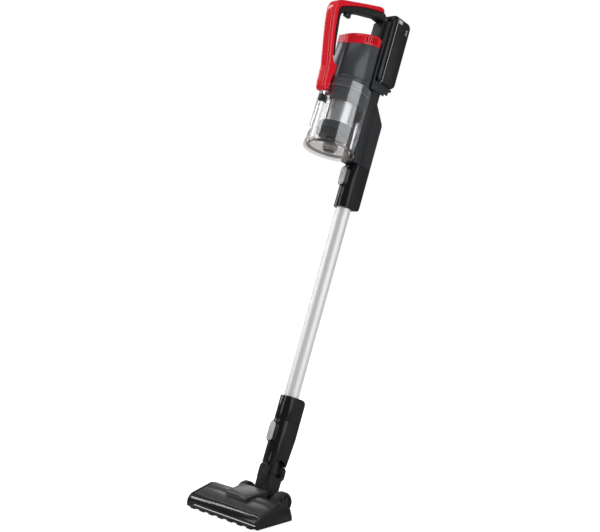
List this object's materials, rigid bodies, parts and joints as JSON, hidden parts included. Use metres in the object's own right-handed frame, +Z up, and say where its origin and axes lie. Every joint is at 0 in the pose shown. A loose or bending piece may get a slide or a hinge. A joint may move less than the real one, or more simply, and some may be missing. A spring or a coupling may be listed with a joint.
{
  "type": "upright vacuum cleaner",
  "caption": "Cordless stick vacuum cleaner with a loop handle, clear cyclone dust bin, rear battery, slim metal wand and a swivelling powered floor head.",
  "frame": {"origin": "on the floor under the middle of the bounding box", "axes": "+Z up, -Y forward across the floor head, +X to the side; the stick leans back 21.5 degrees in the YZ plane"},
  "size_m": [0.244, 0.5776, 1.1443],
  "materials": {
    "gloss_black": "glossy moulded plastic, black",
    "matt_black": "fine matt moulded plastic, black",
    "matt_grey": "satin moulded plastic, dark slate grey",
    "red": "glossy moulded plastic, red",
    "pale_grey": "satin moulded plastic, light grey",
    "silver": "satin anodised tube",
    "steel": "bright steel",
    "motor": null,
    "cells": null,
    "rubber": "soft black rubber",
    "foam": "filter foam and pleated paper",
    "clear": "clear polycarbonate",
    "smoke": "smoked clear plastic",
    "bristle": "red pile and bristle strips on a moulded core"
  },
  "bodies": {
    "hand_unit": {"handle_shell": "red", "handle_grip": "matt_black", "rear_column": "matt_black", "battery_dock": "matt_grey", "duct_shell": "matt_grey", "inlet_pipe": "matt_grey", "motor_housing": "matt_grey", "motor_cap": "red", "fan_motor": "motor", "fan_cover": "matt_black", "exhaust_filter": "foam", "bin_collar": "matt_grey", "shroud": "matt_grey", "filter_mesh": "steel", "cyclone_cone": "matt_grey", "cyclone_tube": "matt_black", "pre_filter": "foam"},
    "bin": {"bin_cup": "clear", "lid_hinge_pin": "steel"},
    "bin_catch": {"bin_release": "matt_black"},
    "lid": {"bin_lid": "clear", "lid_seal": "rubber"},
    "latch": {"lid_latch": "matt_grey"},
    "fan": {"impeller": "pale_grey"},
    "trigger": {"power_trigger": "matt_grey"},
    "battery": {"battery_case": "matt_black", "battery_cells": "cells"},
    "battery_catch": {"battery_release": "pale_grey"},
    "wand": {"wand_tube": "silver", "wand_foot_front_shell": "gloss_black", "wand_foot_rear_shell": "matt_black", "wand_top_front_shell": "gloss_black", "wand_top_rear_shell": "matt_black"},
    "wand_button": {"wand_release": "pale_grey"},
    "neck": {"neck_front_shell": "gloss_black", "neck_rear_shell": "matt_black", "neck_pipe": "matt_grey"},
    "neck_button": {"neck_release": "pale_grey"},
    "swivel": {"neck_lower": "matt_black", "swivel_pin_front": "steel", "swivel_pin_rear": "steel", "neck_hose": "rubber"},
    "head": {"front_window": "smoke", "top_cover_front": "matt_grey", "top_cover_rear": "matt_grey", "end_cap_left": "matt_black", "end_cap_right": "matt_black", "head_base": "matt_black", "bumper_strip": "matt_black", "hood": "gloss_black", "brush_motor": "motor", "drive_belt": "rubber", "wheel_axle": "steel"},
    "roller": {"brush_roller": "bristle"},
    "pulley": {"motor_pulley": "steel"},
    "left_wheel": {"wheel_left": "matt_black"},
    "right_wheel": {"wheel_right": "matt_black"},
    "left_small_wheel": {"small_wheel_left": "matt_grey"},
    "right_small_wheel": {"small_wheel_right": "matt_grey"}
  },
  "joints": [
    {"name": "trigger_squeeze", "type": "slide", "parent": "hand_unit", "child": "trigger", "axis": [0, 0.3665, 0.9304], "range_m": [0, 0.003], "stiffness_N_per_m": 500, "springref_m": -0.002},
    {"name": "battery_pull", "type": "slide", "parent": "hand_unit", "child": "battery", "axis": [0, 0.9304, -0.3665], "range_m": [0, 0.07]},
    {"name": "battery_catch_press", "type": "slide", "parent": "battery", "child": "battery_catch", "axis": [0, -0.3665, -0.9304], "range_m": [0, 0.002], "stiffness_N_per_m": 500, "springref_m": -0.002},
    {"name": "fan_spin", "type": "hinge", "parent": "hand_unit", "child": "fan", "pos_m": [0, 0.10763, 0.97063], "axis": [0, 0.3665, 0.9304], "continuous": true},
    {"name": "bin_pull", "type": "slide", "parent": "hand_unit", "child": "bin", "axis": [0, -0.3665, -0.9304], "range_m": [0, 0.15]},
    {"name": "bin_catch_lift", "type": "slide", "parent": "bin", "child": "bin_catch", "axis": [0, 0.3665, 0.9304], "range_m": [0, 0.003], "stiffness_N_per_m": 500, "springref_m": -0.002},
    {"name": "lid_hinge", "type": "hinge", "parent": "bin", "child": "lid", "pos_m": [0, -0.02197, 0.82714], "axis": [1, 0, 0], "range_deg": [-100, 0]},
    {"name": "latch_slide", "type": "slide", "parent": "bin", "child": "latch", "axis": [0, -0.3665, -0.9304], "range_m": [0, 0.003], "stiffness_N_per_m": 500, "springref_m": -0.002},
    {"name": "wand_pull", "type": "slide", "parent": "hand_unit", "child": "wand", "axis": [0, -0.3665, -0.9304], "range_m": [0, 0.045]},
    {"name": "wand_button_press", "type": "slide", "parent": "wand", "child": "wand_button", "axis": [0, 0.9304, -0.3665], "range_m": [0, 0.003], "stiffness_N_per_m": 500, "springref_m": -0.002},
    {"name": "neck_pull", "type": "slide", "parent": "wand", "child": "neck", "axis": [0, -0.3665, -0.9304], "range_m": [0, 0.045]},
    {"name": "neck_button_press", "type": "slide", "parent": "neck", "child": "neck_button", "axis": [0, 0.9304, -0.3665], "range_m": [0, 0.003], "stiffness_N_per_m": 500, "springref_m": -0.002},
    {"name": "neck_roll", "type": "hinge", "parent": "neck", "child": "swivel", "pos_m": [0, -0.14042, 0.08169], "axis": [0, 0.9304, -0.3665], "range_deg": [-45, 45]},
    {"name": "neck_pitch", "type": "hinge", "parent": "swivel", "child": "head", "pos_m": [0, -0.16315, 0.024], "axis": [1, 0, 0], "range_deg": [-21.5, 53.5]},
    {"name": "roller_spin", "type": "hinge", "parent": "head", "child": "roller", "pos_m": [0, -0.26185, 0.0152], "axis": [1, 0, 0], "continuous": true},
    {"name": "pulley_spin", "type": "hinge", "parent": "head", "child": "pulley", "pos_m": [-0.104, -0.21885, 0.022], "axis": [1, 0, 0], "continuous": true},
    {"name": "left_wheel_roll", "type": "hinge", "parent": "head", "child": "left_wheel", "pos_m": [0.06, -0.16315, 0.024], "axis": [1, 0, 0], "continuous": true},
    {"name": "left_small_wheel_roll", "type": "hinge", "parent": "head", "child": "left_small_wheel", "pos_m": [0.084, -0.22485, 0.0055], "axis": [1, 0, 0], "continuous": true},
    {"name": "right_wheel_roll", "type": "hinge", "parent": "head", "child": "right_wheel", "pos_m": [-0.06, -0.16315, 0.024], "axis": [1, 0, 0], "continuous": true},
    {"name": "right_small_wheel_roll", "type": "hinge", "parent": "head", "child": "right_small_wheel", "pos_m": [-0.084, -0.22485, 0.0055], "axis": [1, 0, 0], "continuous": true}
  ],
  "couplings": [
    {"joint": "pulley_spin", "follows": "roller_spin", "ratio": 1.6667}
  ]
}
